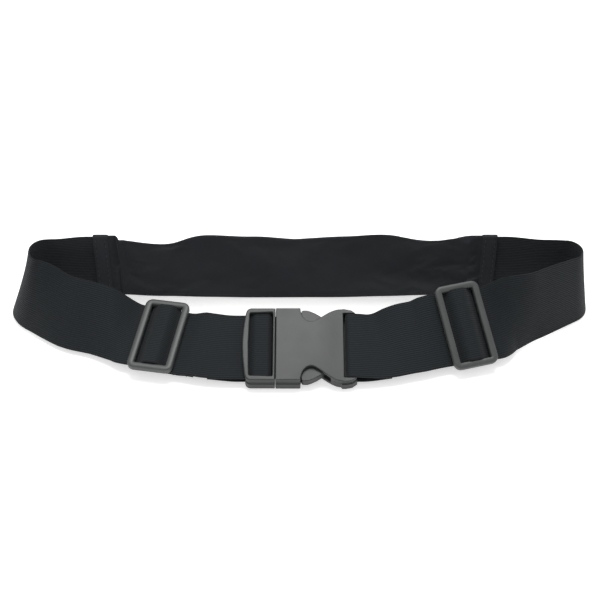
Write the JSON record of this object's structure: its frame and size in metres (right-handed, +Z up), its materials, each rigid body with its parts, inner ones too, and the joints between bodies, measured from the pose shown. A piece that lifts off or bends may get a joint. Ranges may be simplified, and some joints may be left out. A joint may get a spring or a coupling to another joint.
{
  "type": "money belt",
  "caption": "Flat zipped waist pouch on a wide ribbed webbing belt with sliding glides and a side-release buckle, closed into a loop.",
  "frame": {"origin": "on the table under the middle of the closed belt's box", "axes": "+X along the belt towards the pouch's right end as seen from the buckle's side, +Y from the buckle to the pouch, +Z up, across the webbing of the pouch"},
  "size_m": [0.3915, 0.1043, 0.0528],
  "materials": {
    "webbing": "matt ribbed elastic webbing",
    "pouch_cloth": "matt fine woven stretch cloth",
    "hem_cloth": "folded and pressed cloth",
    "thread": "spun polyester thread",
    "zip_tape": "twill tape",
    "zip_coil": "nylon coil",
    "zip_metal": "black enamelled casting",
    "glide_plastic": "satin moulded",
    "buckle_plastic": "satin moulded"
  },
  "bodies": {
    "root": {"pouch_inner_panel": "pouch_cloth", "pouch_outer_panel_upper": "pouch_cloth", "pouch_outer_panel_lower": "pouch_cloth", "end_hem_left": "hem_cloth", "end_hem_right": "hem_cloth", "hem_stitching_left": "thread", "hem_stitching_right": "thread", "zip_tape_upper": "zip_tape", "zip_tape_lower": "zip_tape", "zip_coil_upper": "zip_coil", "zip_coil_lower": "zip_coil", "zip_stops": "zip_metal", "strap_left_rear": "webbing", "strap_right": "webbing", "strap_right_return": "webbing", "buckle_socket": "buckle_plastic"},
    "clip_half": {"strap_left_front": "webbing", "strap_left_return": "webbing", "buckle_clip": "buckle_plastic"},
    "upper_arm": {"latch_arm_upper": "buckle_plastic"},
    "lower_arm": {"latch_arm_lower": "buckle_plastic"},
    "left_glide": {"tri_glide_left": "glide_plastic", "strap_left_bar_loop": "webbing", "strap_left_hump": "webbing", "strap_left_tail": "webbing", "tail_stitching_left": "thread"},
    "right_glide": {"tri_glide_right": "glide_plastic", "strap_right_bar_loop": "webbing", "strap_right_hump": "webbing", "strap_right_tail": "webbing", "tail_stitching_right": "thread"},
    "zip_slider": {"zip_slider": "zip_metal"},
    "zip_pull": {"zip_pull": "zip_metal"}
  },
  "joints": [
    {"name": "buckle_release", "type": "slide", "parent": "root", "child": "clip_half", "axis": [-1, 0, 0], "range_m": [0, 0.042], "deforming": ["strap_left_rear", "latch_arm_upper", "latch_arm_lower"]},
    {"name": "upper_latch", "type": "hinge", "parent": "clip_half", "child": "upper_arm", "pos_m": [-0.015, -0.00862, 0.0174], "axis": [0, 0.2756, -0.9613], "range_deg": [0, 9], "stiffness_Nm_per_rad": 0.3},
    {"name": "lower_latch", "type": "hinge", "parent": "clip_half", "child": "lower_arm", "pos_m": [-0.015, -0.03938, 0.00858], "axis": [0, -0.2756, 0.9613], "range_deg": [0, 9], "stiffness_Nm_per_rad": 0.3},
    {"name": "left_glide_slide", "type": "slide", "parent": "clip_half", "child": "left_glide", "axis": [-0.9817, 0.1901, -0.0133], "range_m": [-0.012, 0.012], "deforming": ["strap_left_front", "strap_left_return", "strap_left_rear"]},
    {"name": "right_glide_slide", "type": "slide", "parent": "root", "child": "right_glide", "axis": [0.9652, 0.2601, 0.0291], "range_m": [-0.012, 0.012], "deforming": ["strap_right", "strap_right_return"]},
    {"name": "zip_slide", "type": "slide", "parent": "root", "child": "zip_slider", "axis": [-1, 0, 0], "range_m": [0, 0.205]},
    {"name": "zip_pull_swing", "type": "hinge", "parent": "zip_slider", "child": "zip_pull", "pos_m": [0.1031, 0.0509, 0.035], "axis": [0, 0, -1], "range_deg": [0, 180]}
  ]
}
